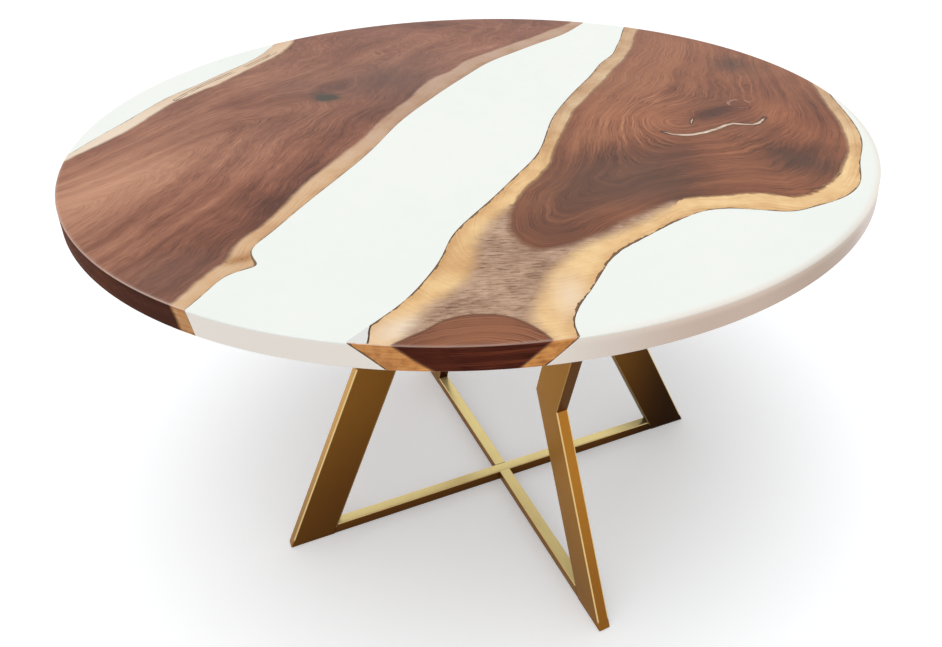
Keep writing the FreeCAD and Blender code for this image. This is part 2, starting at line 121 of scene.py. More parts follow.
# The middle lines that the rings lie around
LEFT_PITH = [
    (-1.04, -0.62), (-0.89, -0.45), (-0.82, -0.355), (-0.765, -0.25), (-0.71, -0.12),
    (-0.64, 0.01), (-0.555, 0.12), (-0.47, 0.225), (-0.385, 0.40), (-0.27, 0.65),
    (-0.12, 0.88), (0.0, 1.05)]
RIGHT_PITH = [
    (0.50, -0.035), (0.56, -0.015), (0.64, 0.025), (0.72, 0.085), (0.765, 0.25),
    (0.79, 0.45), (0.83, 0.75), (0.87, 1.05)]
TONGUE_MIDDLE = (0.165, -0.50)
TONGUE_TIP = (0.079, -0.675)
# Lines of bark grown into the sapwood
LEFT_SEAM = [
    (-0.845, 0.225), (-0.829, 0.279), (-0.795, 0.36), (-0.757, 0.43), (-0.703, 0.536),
    (-0.662, 0.633), (-0.645, 0.70)]
NUB_SEAM = [(-0.519, -0.673), (-0.497, -0.684), (-0.484, -0.678), (-0.468, -0.656)]
NUB_TIP = (-0.455, -0.692)
RIGHT_SEAM = [
    (0.655, -0.455), (0.686, -0.462), (0.745, -0.459), (0.79, -0.425), (0.822, -0.385)]
LEFT_KNOT = (-0.44, 0.215)
RIGHT_KNOT = (0.537, 0.0)
SMALL_KNOT = (0.707, 0.085)
EYE = (0.70, 0.09)
EYE_RADIUS = 0.019
FRONT_RING_CENTRE = (-0.04, -1.07)
FRONT_RING_START = -0.004
CORNER_SIDE = -0.2145
CORNER_BACK = -0.90
SMOKE_BACK = -0.45
# How far the heartwood's border moves outwards with depth, and the front heart's border
# inwards, on its left and on its right
HEART_SLOPE = 0.3
FRONT_SLOPES = (0.95, 0.98)
# The rings: their width from the pith to the heartwood's border, and the pith's own width
RING_WIDTH = 0.17
LEFT_RING_WIDTH = 0.19
LEFT_PITH_WIDTH = 0.012
RIGHT_PITH_WIDTH = 0.008
LEAST_INSIDE = 0.001
# Where rings bend round knots: centre, width and how far they move
LEFT_BENDS = [(LEFT_KNOT, 0.04, 0.02)]
RIGHT_BENDS = [(RIGHT_KNOT, 0.022, 0.018), (SMALL_KNOT, 0.018, 0.016)]
LEFT_GRAIN = (0.38, 0.92)
# The front heart's arcs are stretched sideways, and it shades in like a lens
ARC_STRETCH = (0.8, 1.0)
LENS_START = -0.012
LENS_RUN = 0.004
FRONT_GREY = 0.35
FRONT_BOLD = 1.3
LEFT_BOLDNESS = 0.15
RIGHT_BOLDNESS = 0.30
SEAM_HALF = 0.003
SHORT_CRACK_THINNER = 0.002
# What smoke and corner say where there is none, and how deep the corner goes
NO_SMOKE = -0.02
NO_CORNER = -0.01
CORNER_DEPTH = 0.003
# Where the top's far side starts in y, and how soon it is full. On the left slab it also
# starts at a share of the radius in x.
FAR_START = -0.2
FAR_RUN = 0.25
LEFT_FAR_SHARE = -0.6
LEFT_FAR_STEEPNESS = 6

# Patches: centre, half widths, turn in degrees, strength. First the darker wood.
LEFT_PATCHES = [
    ((-0.42, 0.27), (0.12, 0.07), 20, 0.6), ((-0.43, -0.36), (0.10, 0.30), -14, 1.2),
    ((-0.30, 0.12), (0.07, 0.25), -22, 0.55), ((-0.30, 0.33), (0.12, 0.14), -22, 0.6),
    ((-0.60, -0.74), (0.09, 0.13), -14, 1.0), ((-0.20, 0.95), (0.15, 0.05), 0, 0.5),
    ((-0.88, -0.40), (0.12, 0.28), -25, -1.6), ((-0.70, -0.60), (0.05, 0.08), -20, -0.5),
    ((-0.66, -0.28), (0.02, 0.10), -35, 0.35), ((-0.52, -0.22), (0.025, 0.22), -22, -0.15),
    ((-0.74, 0.25), (0.06, 0.25), -20, -0.5), ((-0.58, -0.10), (0.02, 0.16), -30, 0.3),
    ((-0.60, 0.12), (0.17, 0.045), 15, -0.5), ((-0.56, -0.20), (0.05, 0.05), 0, 0.35),
    ((-0.46, -0.35), (0.04, 0.05), 0, -0.35), ((-0.69, -0.32), (0.05, 0.04), 0, -0.35),
    ((-0.86, 0.02), (0.06, 0.10), 0, -0.35), ((-0.55, -0.70), (0.08, 0.08), 0, -0.3)]
RIGHT_PATCHES = [
    ((0.605, 0.025), (0.055, 0.03), 25, 1.3), ((0.56, -0.02), (0.05, 0.03), 30, 0.5),
    ((0.33, -0.28), (0.12, 0.10), 20, 0.9), ((0.44, -0.24), (0.10, 0.06), 10, 0.5),
    ((0.40, -0.40), (0.12, 0.06), 10, 0.8), ((0.20, -0.42), (0.09, 0.12), -20, 0.9),
    ((0.745, -0.30), (0.06, 0.10), 20, 1.1), ((0.82, -0.24), (0.05, 0.05), 10, 0.4),
    ((0.66, 0.06), (0.10, 0.04), 25, 0.5), ((0.765, 0.43), (0.05, 0.07), -20, 1.1),
    ((0.72, 0.50), (0.06, 0.10), -20, 0.3), ((0.34, 0.04), (0.11, 0.15), -20, -0.9),
    ((0.58, -0.27), (0.08, 0.10), -15, -0.45), ((0.775, 0.04), (0.06, 0.08), 0, -0.6),
    ((0.45, -0.04), (0.06, 0.09), 0, -0.3), ((0.12, -0.58), (0.10, 0.09), -20, 0.7),
    ((0.60, 0.50), (0.18, 0.28), -20, -0.6), ((-0.04, -0.96), (0.10, 0.05), 0, -0.6),
    ((0.90, 0.05), (0.06, 0.20), 0, 0.45), ((0.75, -0.03), (0.04, 0.05), 0, -0.4),
    ((0.29, -0.14), (0.09, 0.07), 0, -0.35), ((0.81, -0.12), (0.04, 0.06), 0, -0.2),
    ((0.42, -0.49), (0.07, 0.04), 10, 0.7)]
# Patches of greyer wood, and of redder wood where the strength is less than zero
LEFT_GREY = [
    ((-0.30, 0.33), (0.16, 0.20), -25, 0.5), ((-0.525, 0.285), (0.10, 0.12), -25, 0.4),
    ((-0.20, 0.55), (0.20, 0.20), -25, 0.3), ((-0.56, -0.47), (0.16, 0.30), -20, -0.6),
    ((-0.44, -0.20), (0.10, 0.25), -20, -0.5),
    ((-0.62, -0.74), (0.12, 0.12), 0, 0.6)]
RIGHT_GREY = [
    ((0.30, -0.36), (0.20, 0.12), 15, 1.0), ((0.76, -0.30), (0.08, 0.10), 20, 0.7),
    ((0.765, 0.43), (0.08, 0.10), -20, 0.7), ((0.62, 0.12), (0.07, 0.05), 20, 0.4),
    ((0.53, 0.60), (0.10, 0.15), -20, 0.2), ((0.42, 0.0), (0.12, 0.10), 0, -0.6),
    ((0.82, -0.05), (0.12, 0.22), 10, -1.0), ((0.63, 0.32), (0.10, 0.12), 0, -0.5),
    ((0.60, -0.22), (0.08, 0.06), 0, -0.4), ((0.38, 0.28), (0.12, 0.14), 0, 0.5),
    ((0.28, -0.12), (0.08, 0.08), 0, 0.35), ((0.77, -0.22), (0.05, 0.08), 0, -0.5),
    ((0.13, -0.56), (0.12, 0.12), 0, 0.4), ((0.32, -0.48), (0.14, 0.06), 20, 0.5)]
# Where the ring lines are strongest
BOLD_PATCHES = [
    ((0.38, -0.06), (0.10, 0.16), 10, 0.9), ((0.80, -0.02), (0.08, 0.14), 10, 0.5),
    ((0.14, -0.56), (0.12, 0.12), -20, 0.45), ((0.36, -0.27), (0.12, 0.12), 20, 0.7),
    ((0.60, 0.17), (0.12, 0.05), 20, 0.6), ((0.47, 0.16), (0.10, 0.16), 0, 0.6),
    ((0.60, -0.18), (0.10, 0.06), 0, 0.4)]
# Paler and tanned sapwood
LEFT_PALE = [
    ((-0.96, -0.08), (0.10, 0.36), -15, 0.75), ((-0.74, 0.45), (0.10, 0.45), -18, 0.4)]
RIGHT_PALE = [
    ((-0.15, -0.935), (0.07, 0.035), 20, 0.8), ((0.135, -0.86), (0.03, 0.07), 0, 0.5)]
LEFT_TAN = [((-0.484, -0.672), (0.034, 0.017), 25, 1.0)]
RIGHT_TAN = [
    ((-0.02, -0.73), (0.04, 0.06), -20, 0.45), ((-0.09, -0.68), (0.06, 0.13), -20, 0.3),
    ((0.14, -0.25), (0.02, 0.2), -20, 0.3)]
# Thicker bark, in parts of its plain width
LEFT_BARK = [(NUB_TIP, (0.03, 0.03), 0, 1.6)]
RIGHT_BARK = [
    ((-0.05, -0.60), (0.30, 0.40), 0, 0.6), ((0.18, -0.87), (0.10, 0.12), 0, 0.9),
    ((0.30, -0.66), (0.12, 0.10), 0, 0.8), ((-0.24, -0.975), (0.03, 0.03), 0, 1.5)]
# Bites of resin in the live edge: their depth in metres
SHALLOW_BITE = 0.0006
RIGHT_BITES = [
    ((0.32, -0.64), (0.24, 0.16), 45, 0.0040), ((0.19, -0.86), (0.06, 0.12), 0, 0.0025),
    ((0.98, -0.12), (0.08, 0.22), 0, 0.0015)]
LEFT_KNOT_PATCHES = [
    (LEFT_KNOT, (0.036, 0.030), 0, 1.3), ((-0.47, 0.27), (0.06, 0.04), 20, 0.35)]
LEFT_BOLD = [((-0.55, -0.15), (0.14, 0.28), -20, 0.35)]
TONGUE_PATCH = [(TONGUE_MIDDLE, (0.24, 0.24), 0, 1.6)]
FRINGE_PATCH = [((0.70, -0.48), (0.16, 0.06), 0, 1.0)]


# Lines and distances in plan, as arrays of points in metres

def smooth_line(shares, count=8):
    """A smooth line through points given as shares of the radius."""
    knots = np.array(shares) * RADIUS
    ends = np.vstack([2 * knots[0] - knots[1], knots, 2 * knots[-1] - knots[-2]])
    parts = []
    for a, b, c, d in zip(ends, ends[1:], ends[2:], ends[3:]):
        t = (np.arange(count) / count)[:, None]
        parts.append(0.5 * (2 * b + (c - a) * t + (2 * a - 5 * b + 4 * c - d) * t ** 2
                            + (3 * b - a - 3 * c + d) * t ** 3))
    return np.vstack(parts + [knots[-1:]])


def segments_of(line):
    return np.stack([line[:-1], line[1:]], axis=1)


def side_distance(points, segments):
    """Distance to the nearest segment, less than zero on its right, and how far along
    that segment is, from 0 at the first to 1 past the last."""
    distance = np.empty(len(points))
    place = np.empty(len(points))
    start = segments[:, 0]
    run = segments[:, 1] - start
    length2 = np.maximum((run ** 2).sum(1), SHORTEST ** 2)
    for low in range(0, len(points), BATCH):
        rel = points[low:low + BATCH, None, :] - start[None]
        t = np.clip((rel * run).sum(2) / length2, 0, 1)
        gap = np.hypot(*np.moveaxis(rel - t[..., None] * run, 2, 0))
        cross = run[:, 0] * rel[..., 1] - run[:, 1] * rel[..., 0]
        # Where two segments share the nearest point, the one seen more from the side counts
        score = gap - SIDE_VIEW * np.abs(cross) / np.sqrt(length2)
        best = score.argmin(1)
        rows = np.arange(len(best))
        distance[low:low + BATCH] = gap[rows, best] * np.where(cross[rows, best] < 0, -1, 1)
        place[low:low + BATCH] = (best + t[rows, best]) / len(segments)
    return distance, place


def line_distance(points, shares):
    return side_distance(points, segments_of(smooth_line(shares)))


def blob(points, centre, widths, turn):
    """1 at the centre of an oval patch, falling to 0 outside it."""
    rel = points - np.array(centre) * RADIUS
    c, s = math.cos(math.radians(turn)), math.sin(math.radians(turn))
    u = (rel[:, 0] * c + rel[:, 1] * s) / (widths[0] * RADIUS)
    v = (rel[:, 1] * c - rel[:, 0] * s) / (widths[1] * RADIUS)
    return np.exp(-(u ** 2 + v ** 2))


def from_point(points, centre):
    return np.hypot(*(points - np.array(centre) * RADIUS).T)


def patches(points, rows):
    return sum(strength * blob(points, centre, widths, turn)
               for centre, widths, turn, strength in rows)


def peak_at(points, centre, width):
    """1 at a point, falling to 0 outside a circle of that width in metres."""
    return np.exp(-(from_point(points, centre) / width) ** 2)


# Finer meshes of the top's pieces

def filled_points(segments, step):
    """Points on rows inside closed outlines."""
    a, b = segments[:, 0], segments[:, 1]
    rows = []
    for y in np.arange(a[:, 1].min() + step * 0.5, a[:, 1].max(), step):
        hit = (a[:, 1] > y) != (b[:, 1] > y)
        t = (y - a[hit, 1]) / (b[hit, 1] - a[hit, 1])
        cuts = np.sort(a[hit, 0] + t * (b[hit, 0] - a[hit, 0]))
        for low, high in zip(cuts[::2], cuts[1::2]):
            xs = np.arange(low + step * 0.6, high - step * 0.5, step)
            rows.append(np.column_stack([xs, np.full(len(xs), y)]))
    return np.vstack(rows)


def is_inside(points, segments):
    a, b = segments[:, 0], segments[:, 1]
    inside = np.zeros(len(points), bool)
    for index, (x, y) in enumerate(points):
        hit = (a[:, 1] > y) != (b[:, 1] > y)
        t = (y - a[hit, 1]) / (b[hit, 1] - a[hit, 1])
        inside[index] = (a[hit, 0] + t * (b[hit, 0] - a[hit, 0]) > x).sum() % 2
    return inside


def refill(bm, height, up, step):
    """Closes the open flat side at a height with fine triangles. Gives its outline as
    segments, with the piece on the left of each as seen from above."""
    edges = [e for e in bm.edges if len(e.link_faces) == 1
             and all(abs(v.co.z - height) < NEAR for v in e.verts)]
    walk = []
    for edge in edges:
        loop = edge.link_loops[0]
        pair = (loop.link_loop_next.vert, loop.vert)
        walk.append(pair if up else pair[::-1])
    verts = list({v: None for pair in walk for v in pair})
    number = {v: i for i, v in enumerate(verts)}
    outline = np.array([[(p.co.x, p.co.y) for p in pair] for pair in walk])
    extra = filled_points(outline, step) if step else np.empty((0, 2))
    coords = [v.co.xy.to_tuple() for v in verts] + [tuple(p) for p in extra]
    links = [(number[p], number[q]) for p, q in walk]
    places, _, faces, sources, *_ = geometry.delaunay_2d_cdt(coords, links, [], 0, SHORTEST)
    made = []
    for place, source in zip(places, sources):
        first = source[0] if source else -1
        if 0 <= first < len(verts):
            made.append(verts[first])
        else:
            made.append(bm.verts.new((place.x, place.y, height)))
    border = set(verts)
    doubtful = [f for f in faces if all(made[i] in border for i in f)]
    centres = np.array([[sum(made[i].co[k] for i in f) / 3 for k in (0, 1)] for f in doubtful])
    keep = dict(zip(map(tuple, doubtful), is_inside(centres, outline)))
    for f in faces:
        if keep.get(tuple(f), True):
            a, b, c = (made[i].co for i in f)
            turn = (b.x - a.x) * (c.y - a.y) - (b.y - a.y) * (c.x - a.x)
            if abs(turn) > LEAST_TURN:
                order = f if (turn > 0) == up else f[::-1]
                bm.faces.new([made[i] for i in order])
    return outline


def in_place_of(node, name, bm):
    """A new piece from a mesh, shown in place of the same piece of the frame."""
    mesh = bpy.data.meshes.new(name)
    bm.to_mesh(mesh)
    bm.free()
    if "custom_normal" in mesh.attributes:
        mesh.attributes.remove(mesh.attributes["custom_normal"])
    mesh.set_sharp_from_angle(angle=math.radians(SHARP_DEGREES))
    piece = bpy.data.objects.new(name, mesh)
    bpy.context.collection.objects.link(piece)
    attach(piece, "root")
    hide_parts(node)
    return piece


def mesh_of(node):
    """The mesh of a CAD node, with its vertices joined."""
    bm = bmesh.new()
    bm.from_mesh(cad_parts[node].data)
    bmesh.ops.remove_doubles(bm, verts=bm.verts, dist=WELD)
    return bm


def marked_tube(node, name):
    """A copy of a tube that marks the faces of its long rounded corners."""
    bm = mesh_of(node)
    rounding = bm.faces.layers.float.new("rounding")
    for f in bm.faces:
        f.smooth = True
        length = max(e.calc_length() for e in f.edges)
        f[rounding] = length > CORNER_LENGTH and 2 * f.calc_area() / length < CORNER_FACE
    return in_place_of(node, name, bm)


def finer_piece(node, name, top_step, under_step):
    """A copy of one of the top's pieces with a smooth rim and fine flat sides."""
    bm = mesh_of(node)
    flat = [f for f in bm.faces if any(
        all(abs(v.co.z - z) < NEAR for v in f.verts) for z in (TOP, UNDERSIDE))]
    bmesh.ops.delete(bm, geom=flat, context="FACES")

    def on_rim(face):
        middle = face.calc_center_median().xy
        return face.normal.xy.dot(middle) > RIM_FACING * middle.length and all(
            v.co.xy.length > RADIUS - BEVEL - RIM_SLACK for v in face.verts)

    def rim_parts():
        bm.normal_update()
        faces = [f for f in bm.faces if on_rim(f)]
        edges = dict.fromkeys(e for f in faces for e in f.edges)
        verts = dict.fromkeys(v for f in faces for v in f.verts)
        return [*faces, *edges, *verts]

    def cut_rim(place, normal):
        bmesh.ops.bisect_plane(
            bm, geom=rim_parts(), plane_co=place, plane_no=normal, dist=WELD)

    for cut in range(RIM_CUTS):
        angle = math.pi * cut / RIM_CUTS
        cut_rim((0, 0, 0), (-math.sin(angle), math.cos(angle), 0))
    for level in range(1, RIM_LEVELS):
        cut_rim((0, 0, UNDERSIDE + THICKNESS * level / RIM_LEVELS), (0, 0, 1))
    rim = {part for part in rim_parts() if isinstance(part, bmesh.types.BMVert)}
    for v in rim:
        to_flat_side = min(TOP - v.co.z, v.co.z - UNDERSIDE)
        v.co.xy *= (RADIUS - max(BEVEL - to_flat_side, 0)) / v.co.xy.length
    top_outline = refill(bm, TOP, True, top_step)
    under_outline = refill(bm, UNDERSIDE, False, under_step)
    bm.normal_update()
    for f in bm.faces:
        f.smooth = all(v in rim for v in f.verts) and abs(f.normal.z) < WALL_TILT
    return in_place_of(node, name, bm), top_outline, under_outline


def live_segments(outline):
    """The parts of an outline along the live edges, without the rim and the crack."""
    off_rim = np.hypot(*np.moveaxis(outline, 2, 0)).min(1) < RADIUS - BEVEL - RIM_STRIP
    middle = outline.mean(1)
    off_crack = np.abs(line_distance(middle, CRACK)[0]) > CRACK_CLEAR
    off_crack &= from_point(middle, SHORT_CRACK_MIDDLE) > SHORT_CRACK_CLEAR
    long_enough = np.hypot(*(outline[:, 1] - outline[:, 0]).T) > SHORTEST_EDGE
    return outline[off_rim & off_crack & long_enough]


def set_marks(piece, marks):
    """Stores one number per vertex for each named mark."""
    for name, values in marks.items():
        attribute = piece.data.attributes.new(name, "FLOAT", "POINT")
        attribute.data.foreach_set("value", np.asarray(values, dtype=np.float32))


def mix(a, b, share):
    return a + (b - a) * share


def vertex_places(piece):
    count = len(piece.data.vertices)
    coords = np.empty(count * 3)
    piece.data.vertices.foreach_get("co", coords)
    coords = coords.reshape(count, 3)
    plan = coords[:, :2]
    depth = np.clip(TOP - coords[:, 2], 0, THICKNESS)
    wall = (np.hypot(*plan.T) > RADIUS - BEVEL * 0.5) & (depth > BEVEL * 0.5)
    return plan, depth, wall


def bark_distance(plan, depth, top_outline, under_outline):
    """How far inside the bark a point is, with the slope of the live edge."""
    above = side_distance(plan, live_segments(top_outline))[0]
    below = side_distance(plan, live_segments(under_outline))[0]
    return mix(above, below, depth / THICKNESS)


def share_out(from_middle, inside):
    """0 on the middle line, 1 at the border of the heartwood."""
    return from_middle / (from_middle + np.maximum(inside, LEAST_INSIDE))


def bends(points, rows):
    return sum(move * peak_at(points, centre, width) for centre, width, move in rows)


def far_side(plan):
    """0 at the front of the top, 1 towards its back."""
    return np.clip((plan[:, 1] - FAR_START) / FAR_RUN, 0, 1)


# The marks of the wood. In metres: edge (from the live edge), heart (inside the
# heartwood's border), ring (across the rings), along (the grain), around (the rim), depth,
# seam, crack, smoke, eye, corner, and ragged (how deep the edge's bites are). From 0 to 1:
# wall (the rim), pale, tan, far, knot, lens (the front heart) and fringe. The others are
# strengths: shade (darker), grey, bold (ring lines) and bark (times its plain width).

def common_marks(plan, depth, wall, outlines):
    """The marks that both slabs share."""
    return {
        "edge": bark_distance(plan, depth, *outlines), "wall": wall, "depth": depth,
        "around": np.arctan2(plan[:, 1], plan[:, 0]) * RADIUS}


def left_slab_marks(piece, outlines):
    plan, depth, wall = vertex_places(piece)
    outer = -line_distance(plan, LEFT_HEART_OUTER)[0]
    river = line_distance(plan, LEFT_HEART_RIVER)[0]
    inside = np.minimum(outer, river)
    side, place = line_distance(plan, LEFT_PITH)
    share = share_out(np.hypot(side, LEFT_PITH_WIDTH), np.where(side > 0, outer, river))
    ring = LEFT_RING_WIDTH * share + RING_WIDTH * place * (1 - share) - np.minimum(inside, 0)
    ring += bends(plan, LEFT_BENDS)
    seam = np.minimum(np.abs(line_distance(plan, LEFT_SEAM)[0]) - SEAM_HALF,
                      np.abs(line_distance(plan, NUB_SEAM)[0]))
    from_left = np.clip((plan[:, 0] / RADIUS - LEFT_FAR_SHARE) * LEFT_FAR_STEEPNESS, 0, 1)
    set_marks(piece, {
        **common_marks(plan, depth, wall, outlines),
        "heart": inside + HEART_SLOPE * depth, "ring": ring,
        "along": plan @ np.array(LEFT_GRAIN),
        "shade": patches(plan, LEFT_PATCHES), "grey": patches(plan, LEFT_GREY),
        "pale": patches(plan, LEFT_PALE), "tan": patches(plan, LEFT_TAN),
        "seam": seam, "ragged": np.full(len(plan), SHALLOW_BITE),
        "bark": 1 + patches(plan, LEFT_BARK),
        "knot": np.clip(patches(plan, LEFT_KNOT_PATCHES), 0, 1),
        "bold": LEFT_BOLDNESS + patches(plan, LEFT_BOLD), "far": far_side(plan) * from_left})


def right_slab_marks(piece, outlines):
    plan, depth, wall = vertex_places(piece)
    main = line_distance(plan, RIGHT_HEART)[0]
    lean = np.where(plan[:, 0] < FRONT_RING_CENTRE[0] * RADIUS, *FRONT_SLOPES)
    front = -line_distance(plan, FRONT_HEART)[0] - lean * depth
    in_front = front > FRONT_RING_START
    smoke = np.minimum(
        line_distance(plan, SMOKY_LEFT)[0], line_distance(plan, SMOKY_RIGHT)[0])
    smoke = np.minimum(smoke, SMOKE_BACK * RADIUS - plan[:, 1])
    side = line_distance(plan, RIGHT_PITH)[0]
    tip = RIGHT_HEART.index(TONGUE_TIP)
    first, second = (np.abs(line_distance(plan, part)[0])
                     for part in (RIGHT_HEART[:tip + 1], RIGHT_HEART[tip:]))
    within = np.where(main > 0, first * second / np.hypot(first, second), 0)
    ring = RING_WIDTH * share_out(np.hypot(side, RIGHT_PITH_WIDTH), np.maximum(main, 0))
    in_tongue = np.clip(patches(plan, TONGUE_PATCH), 0, 1)
    ring = mix(ring, RING_WIDTH - within, in_tongue) - np.minimum(main, 0)
    ring += bends(plan, RIGHT_BENDS)
    arcs = from_point(plan * np.array(ARC_STRETCH), FRONT_RING_CENTRE)
    crack = np.minimum(np.abs(line_distance(plan, CRACK)[0]),
                       np.abs(line_distance(plan, SHORT_CRACK)[0]) + SHORT_CRACK_THINNER)
    corner = np.minimum(CORNER_SIDE * RADIUS - plan[:, 0], CORNER_BACK * RADIUS - plan[:, 1])
    set_marks(piece, {
        **common_marks(plan, depth, wall, outlines),
        "heart": np.maximum(main + HEART_SLOPE * depth, front),
        "ring": np.where(in_front, arcs, ring),
        "along": line_distance(plan, RIGHT_SPINE)[1],
        "shade": patches(plan, RIGHT_PATCHES),
        "grey": np.where(in_front, FRONT_GREY, patches(plan, RIGHT_GREY)),
        "pale": patches(plan, RIGHT_PALE), "tan": patches(plan, RIGHT_TAN),
        "seam": line_distance(plan, RIGHT_SEAM)[0],
        "ragged": SHALLOW_BITE + patches(plan, RIGHT_BITES),
        "bark": 1 + patches(plan, RIGHT_BARK),
        "lens": np.clip((front - LENS_START) / LENS_RUN, 0, 1) * (front > main),
        "bold": np.where(in_front, FRONT_BOLD, RIGHT_BOLDNESS + patches(plan, BOLD_PATCHES)),
        "far": far_side(plan), "smoke": np.where(wall, NO_SMOKE, smoke), "crack": crack,
        "eye": np.abs(from_point(plan, EYE) - EYE_RADIUS),
        "corner": np.where(wall | (depth > CORNER_DEPTH), NO_CORNER, corner),
        "fringe": patches(plan, FRINGE_PATCH)})


# Materials

def paint(red, green, blue):
    """An eight bit screen colour as the shaders' linear colour."""
    shares = [c / 255 for c in (red, green, blue)]
    return [c / 12.92 if c < 0.04045 else ((c + 0.055) / 1.055) ** 2.4 for c in shares] + [1.0]


WHITE = (1.0, 1.0, 1.0, 1.0)
PALE_SAP = paint(242, 226, 206)
PALE_BARK = paint(132, 98, 66)
FILLED_BITE = paint(240, 242, 236)
SMOKE_STOPS = [
    (0.0, paint(112, 84, 66)), (0.3, paint(152, 119, 96)), (0.6, paint(190, 157, 132)),
    (1.0, paint(212, 182, 152))]
# Tints, which multiply a colour
REDDENED = (1.0, 0.88, 0.81, 1.0)
TANNED = (0.62, 0.46, 0.30, 1.0)
FAR_SAP = (0.74, 0.73, 0.86, 1.0)
# Painted shade on the gold: on the far leg, and low down near the floor
GOLD_FAR_SHADE = (0.17, 0.14, 0.18, 1.0)
GOLD_LOW_SHADE = (0.60, 0.56, 0.58, 1.0)
GOLD_DARK = (0.93, 0.93, 0.93, 1.0)
GOLD_EDGE = (0.89, 0.73, 0.53, 1.0)

# The shares weigh bands, ring lines, pores and clouds in the heartwood's tone.
# The wall colours and wall tint make the rim darker: partly the rim grain's own colour, partly
# painted shade.
# The bevel highlight is a painted highlight.
LEFT_LOOK = {
    "heart": [
        (0.0, paint(58, 30, 22)), (0.25, paint(96, 57, 43)), (0.47, paint(138, 89, 69)),
        (0.68, paint(172, 120, 94)), (0.98, paint(206, 154, 124))],
    "sap": [
        (0.0, paint(120, 78, 48)), (0.2, paint(190, 144, 104)), (0.5, paint(214, 174, 132)),
        (0.9, paint(226, 196, 164))],
    "wall": [
        (0.0, (0.52, 0.32, 0.20, 1.0)), (0.5, (0.84, 0.67, 0.50, 1.0)),
        (1.0, (0.98, 0.84, 0.66, 1.0))],
    "wall_tint_and_shade": (0.31, 0.20, 0.145, 1.0), "dim": paint(104, 80, 72),
    "shares": (0.24, 0.26, 0.22, 0.28), "ring_warp": 0.0035, "bark_width": 0.0010,
    "bark": paint(116, 96, 76), "bevel_highlight": 0.45}
RIGHT_LOOK = {
    "heart": [
        (0.0, paint(52, 29, 20)), (0.24, paint(92, 54, 38)), (0.45, paint(132, 81, 57)),
        (0.66, paint(164, 107, 76)), (0.97, paint(200, 142, 104))],
    "sap": [
        (0.0, paint(120, 82, 48)), (0.2, paint(200, 152, 100)), (0.5, paint(230, 188, 134)),
        (0.85, paint(252, 220, 164))],
    "wall": [
        (0.0, (0.44, 0.22, 0.11, 1.0)), (0.5, (0.77, 0.50, 0.30, 1.0)),
        (1.0, (0.94, 0.69, 0.44, 1.0))],
    "wall_tint_and_shade": (0.32, 0.165, 0.14, 1.0), "dim": paint(97, 71, 59),
    "shares": (0.20, 0.36, 0.18, 0.26), "ring_warp": 0.006, "bark_width": 0.0017,
    "bark": paint(66, 44, 27), "bevel_highlight": 0.25}


